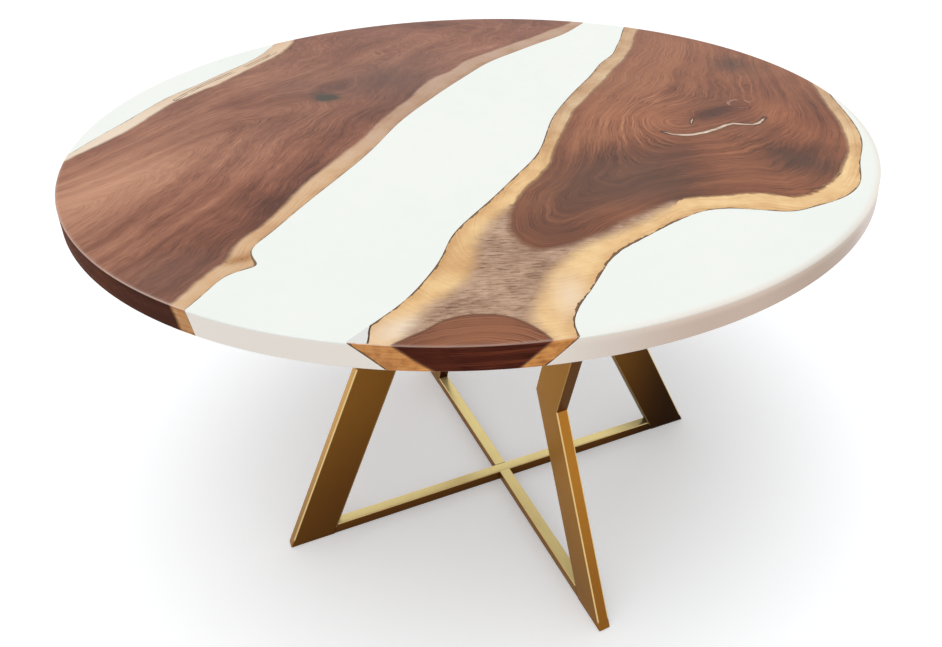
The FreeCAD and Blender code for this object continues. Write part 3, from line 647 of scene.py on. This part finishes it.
class Shader:
    """A material under construction."""

    def __init__(self, name):
        self.material = bpy.data.materials.new(name)
        self.material.use_nodes = True
        self.tree = self.material.node_tree
        self.surface = self.tree.nodes["Principled BSDF"]

    def put(self, socket, value):
        if isinstance(value, bpy.types.NodeSocket):
            self.tree.links.new(value, socket)
        else:
            socket.default_value = value

    def node(self, kind, inputs=(), output=0, **settings):
        made = self.tree.nodes.new("ShaderNode" + kind)
        for key, value in settings.items():
            setattr(made, key, value)
        for key, value in dict(inputs).items():
            self.put(made.inputs[key], value)
        return made.outputs[output]

    def math(self, operation, *values, clamp=False):
        return self.node("Math", enumerate(values), operation=operation, use_clamp=clamp)

    def product(self, *values):
        result, *others = values
        for value in others:
            result = self.math("MULTIPLY", result, value)
        return result

    def total(self, *terms):
        """The sum of values, each given with its weight."""
        (value, weight), *others = terms
        result = self.math("MULTIPLY", value, weight)
        for value, weight in others:
            result = self.math("MULTIPLY_ADD", value, weight, result)
        return result

    def most(self, *values):
        result, *others = values
        for value in others:
            result = self.math("MAXIMUM", result, value)
        return result

    def swing(self, noise, gain, base=0.0, clamp=False):
        """How far a noise is from its middle, times a gain, added to a base."""
        return self.math(
            "MULTIPLY_ADD", self.math("SUBTRACT", noise, 0.5), gain, base, clamp=clamp)

    def spread(self, noise, gain):
        """A noise spread out about its middle and held between 0 and 1."""
        return self.swing(noise, gain, 0.5, clamp=True)

    def mark(self, name):
        return self.node("Attribute", output="Fac", attribute_name=name)

    def mix(self, share, a, b, blend="MIX"):
        made = self.tree.nodes.new("ShaderNodeMix")
        made.data_type = "RGBA"
        made.blend_type = blend
        for socket, value in zip((made.inputs[0], made.inputs[6], made.inputs[7]), (share, a, b)):
            self.put(socket, value)
        return made.outputs[2]

    def tinted(self, share, colour, tint):
        """A colour times a tint, as far as the share says."""
        return self.mix(share, colour, self.mix(1.0, colour, tint, "MULTIPLY"))

    def mix_number(self, share, a, b):
        return self.node("Mix", {0: share, 2: a, 3: b})

    def step(self, value, low, high):
        """0 below low and 1 above high, smooth between."""
        return self.node(
            "MapRange", {"Value": value, "From Min": low, "From Max": high},
            interpolation_type="SMOOTHSTEP")

    def near_zero(self, value, outer, inner):
        """1 within the inner distance of zero, on both sides, and 0 past the outer one."""
        return self.step(self.math("ABSOLUTE", value), outer, inner)

    def ramp(self, value, stops):
        made = self.tree.nodes.new("ShaderNodeValToRGB")
        self.put(made.inputs[0], value)
        elements = made.color_ramp.elements
        while len(elements) < len(stops):
            elements.new(0.5)
        for element, (place, colour) in zip(elements, stops):
            element.position = place
            element.color = colour
        return made.outputs[0]

    def vector(self, x, y, z):
        return self.node("CombineXYZ", {0: x, 1: y, 2: z})

    def scaled(self, vector, x, y, z):
        return self.node("Mapping", {"Vector": vector, "Scale": (x, y, z)})

    def noise(self, vector, scale, detail=3.0, roughness=0.55):
        """Soft noise with that many waves per unit of the vector."""
        return self.node("TexNoise", {
            "Vector": vector, "Scale": scale, "Detail": detail, "Roughness": roughness})

    def position(self):
        return self.node("TexCoord", output="Object")

    def normal(self):
        return self.node("NewGeometry", output="Normal")

    def axis(self, vector, index):
        """x, y or z of a vector."""
        return self.node("SeparateXYZ", {0: vector}, output=index)

    def from_axis(self):
        """Distance from the table's upright axis."""
        return self.node("VectorMath", {0: self.scaled(self.position(), 1, 1, 0)}, "Value",
                         operation="LENGTH")

    def bump(self, height, strength, distance):
        normal = self.node("Bump", {
            "Height": height, "Strength": strength, "Distance": distance})
        self.put(self.surface.inputs["Normal"], normal)

    def finish(self, **inputs):
        for key, value in inputs.items():
            self.put(self.surface.inputs[key.replace("_", " ")], value)
        return self.material


def seen_directly(tree):
    """1 for rays that show a thing, also in a mirror or through glass, 0 for its light."""
    path = tree.nodes.new("ShaderNodeLightPath")
    total = path.outputs["Is Camera Ray"]
    for name in ("Is Glossy Ray", "Is Transmission Ray"):
        most = tree.nodes.new("ShaderNodeMath")
        most.operation = "MAXIMUM"
        tree.links.new(total, most.inputs[0])
        tree.links.new(path.outputs[name], most.inputs[1])
        total = most.outputs[0]
    return total


def wood_grain(s, warp):
    """Where a point lies in the wood: across the rings, along them, and its depth."""
    place = s.position()
    wall = s.mark("wall")
    ring = s.math("MULTIPLY_ADD", s.noise(place, 6.0, 3.0), 0.036, s.mark("ring"))
    ring = s.math("MULTIPLY_ADD", s.noise(place, 34.0, 3.0), warp, ring)
    # On the rim the rings run level
    rim_ring = s.math("MULTIPLY_ADD", s.noise(place, 9.0, 2.0), 0.012, s.mark("depth"))
    ring = s.mix_number(wall, ring, rim_ring)
    along = s.mix_number(wall, s.mark("along"), s.mark("around"))
    return s.vector(ring, along, s.mark("depth"))


def heartwood(s, grain, bands, lines, pores, look):
    """Bands, ring lines, pores and clouds, darker and greyer in the marked patches."""
    place = s.position()
    cloud = s.noise(place, 4.2, 5.0)
    bold = s.mark("bold")
    whole = s.math("MULTIPLY_ADD", s.step(s.noise(place, 22.0, 2.0), 0.40, 0.60), 0.7, 0.3)
    line_gain = s.product(s.math("MULTIPLY_ADD", bold, 2.4, 1.1), whole)
    dark_line = s.near_zero(s.math("SUBTRACT", lines, 0.47), 0.03, 0.0)
    vessels = s.step(s.noise(s.scaled(grain, 620, 24, 150), 1.0, 2.0), 0.60, 0.70)
    # Darker patches break up along the rings
    streaky = s.math("MULTIPLY_ADD", s.spread(cloud, 2.6), -0.4, 1.2)
    patch = s.product(s.mark("shade"), streaky)
    band_share, line_share, pore_share, cloud_share = look["shares"]
    tone = s.total(
        (s.spread(bands, 2.2), band_share), (s.spread(lines, line_gain), line_share),
        (s.spread(pores, 2.0), pore_share), (s.spread(cloud, 2.2), cloud_share),
        (s.product(dark_line, bold, whole), -0.22), (vessels, -0.12), (patch, -0.21),
        (s.step(s.mark("heart"), 0.012, 0.0), -0.04))
    colour = s.ramp(tone, look["heart"])
    grey = s.swing(s.noise(place, 5.0, 3.0), 1.4, s.mark("grey"))
    dimmed = s.math("MULTIPLY_ADD", grey, 0.5, s.math("MULTIPLY", patch, 0.2), clamp=True)
    colour = s.mix(dimmed, colour, look["dim"])
    colour = s.tinted(s.math("MULTIPLY", grey, -1.0, clamp=True), colour, REDDENED)
    # On the rim the heartwood is darker: partly its grain's own colour, partly painted shade
    return s.tinted(s.mark("wall"), colour, look["wall_tint_and_shade"])


def sapwood(s, grain, lines, pores, look):
    """Fine streaks along the live edge over a soft mottle."""
    place = s.position()
    mottle = s.noise(place, 17.0, 6.0, 0.6)
    tone = s.total(
        (s.spread(lines, 2.2), 0.30), (s.spread(mottle, 2.6), 0.38),
        (s.spread(pores, 2.4), 0.14), (s.step(s.mark("edge"), 0.0, 0.02), 0.18))
    colour = s.ramp(tone, look["sap"])
    colour = s.mix(s.mark("pale"), colour, PALE_SAP)
    colour = s.tinted(s.mark("tan"), colour, TANNED)
    colour = s.tinted(s.mark("far"), colour, FAR_SAP)
    wall_grain = s.noise(s.scaled(grain, 160, 14, 160), 1.0, 4.0, 0.6)
    wall_grain = s.mix_number(0.45, wall_grain, s.noise(place, 95.0, 4.0, 0.65))
    # On the rim the sapwood is darker: partly its grain's own colour, partly painted shade
    return s.tinted(s.mark("wall"), colour, s.ramp(s.spread(wall_grain, 3.0), look["wall"]))


def smoky_band(s, colour, fray):
    """The greyed band of the right slab's sapwood. Gives the colour and the band's share."""
    place = s.position()
    streaks = s.noise(s.scaled(place, 60, 330, 60), 1.0, 4.0, 0.65)
    mottle = s.noise(place, 26.0, 5.0, 0.65)
    flecks = s.step(s.noise(s.scaled(place, 45, 420, 45), 1.0, 3.0, 0.7), 0.58, 0.64)
    tone = s.total((s.spread(streaks, 2.2), 0.52), (s.spread(mottle, 2.0), 0.48), (flecks, -0.42))
    border = s.math("MULTIPLY_ADD", fray, 1.2, s.swing(streaks, 0.03, s.mark("smoke")))
    share = s.step(border, -0.012, 0.014)
    return s.mix(share, colour, s.ramp(tone, SMOKE_STOPS)), share


def live_edge(s, colour, fray, look):
    """A thin uneven line of bark along the live edge and in the seams. Gives the colour
    and the distance from the edge, less than zero in its bites."""
    place = s.position()
    width = look["bark_width"]
    bite = s.product(s.swing(s.noise(place, 30.0, 4.0, 0.5), 1.6), s.mark("ragged"))
    from_edge = s.math("SUBTRACT", s.mark("edge"), s.most(bite, 0.0))
    uneven = s.math("MULTIPLY_ADD", s.noise(place, 46.0, 4.0, 0.65), width * 4.6, width * -1.5)
    to_bark = s.math("DIVIDE", from_edge, s.mark("bark"))
    bark = s.step(s.math("SUBTRACT", to_bark, uneven), width * 0.25, width * -0.25)
    # Where the bark is thick its middle is paler
    inner = s.math("SUBTRACT", s.math("DIVIDE", to_bark, s.most(uneven, NEAR)), 0.5)
    thick = s.step(s.product(uneven, s.mark("bark")), width * 0.9, width * 1.6)
    inner = s.product(s.near_zero(inner, 0.36, 0.16), thick)
    seam = s.near_zero(s.math("MULTIPLY_ADD", fray, 0.3, s.mark("seam")), 0.0013, 0.0004)
    broken = s.step(s.noise(place, 16.0, 2.0), 0.42, 0.48)
    bark = s.most(bark, s.product(seam, broken, 0.9))
    return s.mix(bark, colour, s.mix(inner, look["bark"], PALE_BARK)), from_edge


def painted_rim_highlight(s, colour, bevel_highlight):
    """A painted highlight on the small bevel round the top and on a thin band of the top beside it.
    """
    up = s.axis(s.normal(), 2)
    bevel = s.product(s.step(up, 0.3, 0.6), s.step(up, 0.95, 0.85))
    brink = s.product(s.step(s.from_axis(), RADIUS - 0.005, RADIUS - 0.0015), s.step(up, 0.9, 0.98))
    return s.mix(s.total((brink, 0.1), (bevel, bevel_highlight)), colour, paint(238, 212, 198))


def wood(name, look, right):
    """Walnut, from the marks of one slab."""
    s = Shader(name)
    place = s.position()
    grain = wood_grain(s, look["ring_warp"])
    bands = s.noise(s.scaled(grain, 75, 2.2, 20), 1.0, 3.0)
    lines = s.noise(s.scaled(grain, 380, 7.0, 80), 1.0, 4.0, 0.6)
    pores = s.noise(s.scaled(grain, 1100, 50, 300), 1.0, 2.0)
    colour = sapwood(s, grain, lines, pores, look)
    fray = s.math("MULTIPLY_ADD", s.noise(place, 45.0, 4.0, 0.65), 0.007, -0.0035)
    softness = -0.0045
    firmness = 0.0045
    if right:
        colour, smoke = smoky_band(s, colour, fray)
        # The front heart, cut like a lens, has a crisp border, and the smoky one is soft
        lens = s.mark("lens")
        fray = s.mix_number(lens, fray, s.math("MULTIPLY", fray, 0.35))
        softness = s.mix_number(lens, s.math("MULTIPLY_ADD", smoke, -0.007, softness), -0.0008)
        firmness = s.mix_number(lens, firmness, 0.0008)
        fringe = s.swing(s.noise(s.scaled(grain, 25, 210, 20), 1.0, 3.0, 0.7), 0.018)
        fray = s.math("MULTIPLY_ADD", fringe, s.mark("fringe"), fray)
    to_heart = s.math("ADD", s.mark("heart"), fray)
    in_heart = s.step(to_heart, softness, firmness)
    colour = s.mix(in_heart, colour, heartwood(s, grain, bands, lines, pores, look))
    if right:
        shown = s.most(s.math("MULTIPLY_ADD", smoke, -0.4, 0.4), s.product(lens, 0.7))
        outline = s.product(s.near_zero(to_heart, 0.0028, 0.0006), shown)
        colour = s.mix(outline, colour, paint(106, 66, 48))
        eye = s.step(s.swing(lines, 0.006, s.mark("eye")), 0.0024, 0.0006)
        eye = s.product(eye, s.step(bands, 0.46, 0.56), 0.5)
        colour = s.mix(eye, colour, paint(206, 170, 152))
    else:
        knot = s.swing(s.noise(s.scaled(place, 40, 90, 40), 1.0, 3.0), 0.9, s.mark("knot"))
        colour = s.mix(s.step(knot, 0.15, 0.95), colour, paint(72, 67, 56))
    colour, from_edge = live_edge(s, colour, fray, look)
    if right:
        crack_side = s.step(s.math("MULTIPLY_ADD", fray, 0.3, s.mark("crack")), 0.007, 0.003)
        colour = s.mix(s.product(crack_side, 0.8), colour, paint(58, 36, 28))
        # A small corner of resin beside the front heart, with bark along it
        corner = s.math("MULTIPLY_ADD", fray, 0.5, s.mark("corner"))
        colour = s.mix(s.step(corner, -0.0014, -0.0004), colour, look["bark"])
        colour = s.mix(s.step(corner, 0.0006, 0.0014), colour, paint(226, 227, 224))
    colour = s.mix(s.step(from_edge, 0.0, -0.0004), colour, FILLED_BITE)
    # Painted highlight along the rim's bevel and brink
    colour = painted_rim_highlight(s, colour, look["bevel_highlight"])
    rough = s.mix_number(s.mark("wall"), s.math("MULTIPLY_ADD", pores, 0.14, 0.34), 0.85)
    s.bump(pores, 0.1, 0.0003)
    return s.finish(Base_Color=colour, Roughness=rough, Specular_IOR_Level=0.1)


def resin(name):
    """White resin. Its rim is warmer, with painted shade that makes it darker and browner towards
    the front right and towards its lower edge.
    """
    s = Shader(name)
    place = s.position()
    cloud = s.noise(s.scaled(place, 1.0, 0.6, 1.0), 3.0, 3.0)
    fine = s.noise(place, 35.0, 1.0)
    face = s.ramp(s.total((cloud, 0.8), (fine, 0.2)), [
        (0.3, paint(238, 243, 237)), (0.7, paint(244, 247, 241))])
    across, back, height = (s.axis(place, index) for index in range(3))
    depth = s.math("SUBTRACT", TOP, height)
    # Painted shade on the rim: towards the front right, deeper at the far right, darker towards the
    # rim's lower edge
    shaded = s.product(s.step(across, 0.0, 0.24), s.step(back, 0.25, -0.1))
    greyed = s.product(s.step(across, 0.27, 0.41), s.step(back, -0.355, -0.41))
    upper = s.mix(greyed, paint(229, 207, 190), paint(208, 187, 166))
    lower = s.mix(greyed, paint(211, 187, 170), paint(189, 162, 142))
    rim = s.mix(shaded, paint(242, 233, 223), s.mix(s.step(depth, 0.003, 0.014), upper, lower))
    # The rim's colour starts softly on the face, and painted shade from the shaded rim spreads onto
    # the face near the edge
    side = s.product(
        s.step(s.math("ABSOLUTE", s.axis(s.normal(), 2)), 0.9, 0.4), s.step(depth, 0.0006, 0.0042))
    soft = s.product(shaded, s.step(s.from_axis(), RADIUS - 0.012, RADIUS + 0.002), 0.5)
    return s.finish(
        Base_Color=s.mix(s.most(side, soft), face, rim),
        Roughness=s.math("MULTIPLY_ADD", cloud, 0.1, 0.24), Specular_IOR_Level=0.3)


def crack_resin():
    s = Shader("crack_resin_finish")
    place = s.position()
    flow = s.noise(s.scaled(place, 60, 160, 60), 1.0, 4.0)
    colour = s.ramp(flow, [
        (0.3, paint(150, 112, 84)), (0.5, paint(206, 178, 150)), (0.7, paint(236, 220, 202))])
    s.bump(flow, 0.2, 0.001)
    return s.finish(Base_Color=colour, Roughness=0.3, Specular_IOR_Level=0.3)


def brushed(name, dark, light, rough, metallic=1.0, edge_colour=WHITE, shade=None):
    """Metal with fine brush marks and a faint mottle."""
    s = Shader(name)
    place = s.position()
    brush = s.noise(s.scaled(place, 35, 35, 900), 1.0, 2.0)
    mottle = s.noise(place, 14.0, 4.0)
    colour = s.ramp(s.total((mottle, 0.55), (brush, 0.45)), [(0.32, dark), (0.68, light)])
    if shade:
        colour = shade(s, colour)
    spread = s.math("MULTIPLY_ADD", mottle, 0.18, rough - 0.09)
    s.bump(brush, 0.08, 0.0004)
    return s.finish(
        Base_Color=colour, Roughness=spread, Metallic=metallic, Specular_Tint=edge_colour,
        Specular_IOR_Level=0.12)


def gold_painted_light_and_shade(s, colour):
    """Gold with painted light and shade: lighter on faces turned up and to the left, deeper brown
    on faces turned down, painted shade on the far leg and low down, and painted highlights on the
    long rounded corners."""
    turned = s.normal()
    up = s.axis(turned, 2)
    facing = s.math("MULTIPLY_ADD", s.axis(turned, 0), -0.22, up)
    # Painted light and shade: the colour follows which way a face turns, lighter turned up and to
    # the left
    tint = s.ramp(s.math("MULTIPLY_ADD", facing, 0.5, 0.5), [
        (0.2, paint(70, 27, 4)), (0.45, paint(122, 78, 28)), (0.6, paint(178, 124, 50)),
        (0.72, paint(192, 124, 42)), (1.0, paint(255, 236, 166))])
    across, back, level = (s.axis(s.position(), index) for index in range(3))
    # Painted shade on the far leg, towards the back right
    tint = s.tinted(s.step(s.math("ADD", across, back), 0.25, 0.48), tint, GOLD_FAR_SHADE)
    # Painted shade low down on faces that are not turned up
    low = s.product(s.step(level, 0.30, 0.02), s.step(up, 0.95, 0.6))
    tint = s.tinted(low, tint, GOLD_LOW_SHADE)
    # Painted highlights on the long rounded corners, not where a rail covers the leg's foot
    lit = s.product(
        s.mark("rounding"), s.step(up, -0.3, 0.1), s.step(level, 0.012, 0.018), 0.75)
    tint = s.mix(lit, tint, paint(255, 226, 160))
    return s.mix(1.0, colour, tint, "MULTIPLY")


def rubber():
    s = Shader("pad_rubber_finish")
    speckle = s.noise(s.position(), 400.0, 3.0)
    colour = s.ramp(speckle, [(0.35, paint(24, 24, 25)), (0.7, paint(48, 47, 46))])
    s.bump(speckle, 0.3, 0.0005)
    return s.finish(Base_Color=colour, Roughness=0.85)


left_wood = wood("left_walnut_finish", LEFT_LOOK, False)
right_wood = wood("right_walnut_finish", RIGHT_LOOK, True)
resin_finish = resin("resin_finish")
gold = brushed("gold_finish", GOLD_DARK, WHITE, 0.34, 0.6, GOLD_EDGE, gold_painted_light_and_shade)
zinc = brushed("zinc_finish", paint(120, 121, 122), paint(168, 168, 168), 0.4)
brass = brushed("brass_finish", paint(150, 116, 60), paint(196, 160, 96), 0.3)
pad_rubber = rubber()
crack_finish = crack_resin()

# The top
for node, name, marks, material in (
        ("left_slab", "left_slab_wood", left_slab_marks, left_wood),
        ("right_slab", "right_slab_wood", right_slab_marks, right_wood)):
    slab, *outlines = finer_piece(node, name, TOP_STEP, UNDERSIDE_STEP)
    marks(slab, outlines)
    slab.data.materials.append(material)
for node in ("left_resin", "river_resin", "right_resin"):
    casting = finer_piece(node, node + "_casting", RESIN_STEP, RESIN_STEP)[0]
    casting.data.materials.append(resin_finish)

# The tubes, and the finishes of the pieces that keep their own mesh
finishes = {
    "crack_fill": crack_finish, "front_channel": zinc, "back_channel": zinc,
    "channel_screws": zinc, "plate_bolts": zinc, "plate_washers": zinc,
    "channel_inserts": brass, "plate_inserts": brass, "foot_pads": pad_rubber}
for node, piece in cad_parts.items():
    if node.endswith(("_slab", "_resin")):
        continue
    if "_leg_" in node or node.endswith("_rail"):
        tube = marked_tube(node, node + "_tube")
        tube.data.materials.append(gold)
    else:
        piece.data.materials.clear()
        piece.data.materials.append(finishes.get(node, gold))

# Floor
FLOOR_HALF = 14.0
FLOOR_GLOW = 0.28
floor_mesh = bpy.data.meshes.new("floor")
floor_mesh.from_pydata(
    [(-FLOOR_HALF, -FLOOR_HALF, 0), (FLOOR_HALF, -FLOOR_HALF, 0), (FLOOR_HALF, FLOOR_HALF, 0),
     (-FLOOR_HALF, FLOOR_HALF, 0)], [], [(0, 1, 2, 3)])
floor = bpy.data.objects.new("floor", floor_mesh)
bpy.context.collection.objects.link(floor)
floor_shader = Shader("floor_finish")
floor_shader.finish(
    Base_Color=(0.826, 0.848, 0.866, 1.0), Roughness=0.9, Specular_IOR_Level=0.1,
    Emission_Color=WHITE,
    Emission_Strength=floor_shader.product(seen_directly(floor_shader.tree), FLOOR_GLOW))
floor_mesh.materials.append(floor_shader.material)

# World: white where it is seen, plain light on the object
WORLD_LIGHT = 0.62
WORLD_SEEN = 1.0
world = bpy.data.worlds.new("studio")
world.use_nodes = True
bpy.context.scene.world = world
nodes, links = world.node_tree.nodes, world.node_tree.links
background = nodes["Background"]
background.inputs["Color"].default_value = WHITE
level = nodes.new("ShaderNodeMapRange")
level.inputs["To Min"].default_value = WORLD_LIGHT
level.inputs["To Max"].default_value = WORLD_SEEN
links.new(seen_directly(world.node_tree), level.inputs["Value"])
links.new(level.outputs[0], background.inputs["Strength"])

# One broad lamp, high and a little to the front
lamp = bpy.data.lights.new("key", "SUN")
lamp.energy = 0.40 * math.pi
lamp.angle = math.radians(40)
lamp_object = bpy.data.objects.new("key", lamp)
lamp_object.rotation_euler = (math.radians(16), math.radians(-2), 0)
bpy.context.collection.objects.link(lamp_object)

# Camera at the photograph's place
camera = bpy.data.cameras.new("camera")
camera.sensor_width = 36.0
camera.lens = 35.05
camera.shift_x = -0.1467
camera.shift_y = -0.1167
camera_object = bpy.data.objects.new("camera", camera)
# Its axes and its place, solved from the rim's ellipse and the feet
right = (0.99114, -0.13052, 0.02268)
down = (-0.0401, -0.45879, -0.88755)
forward = (0.12626, 0.87885, -0.46)
where = (0.0, -1.3839, 1.2967)
camera_object.matrix_world = Matrix([
    [right[i], -down[i], -forward[i], where[i]] for i in range(3)] + [[0, 0, 0, 1]])
bpy.context.collection.objects.link(camera_object)
bpy.context.scene.camera = camera_object
bpy.context.scene.view_settings.view_transform = "Standard"
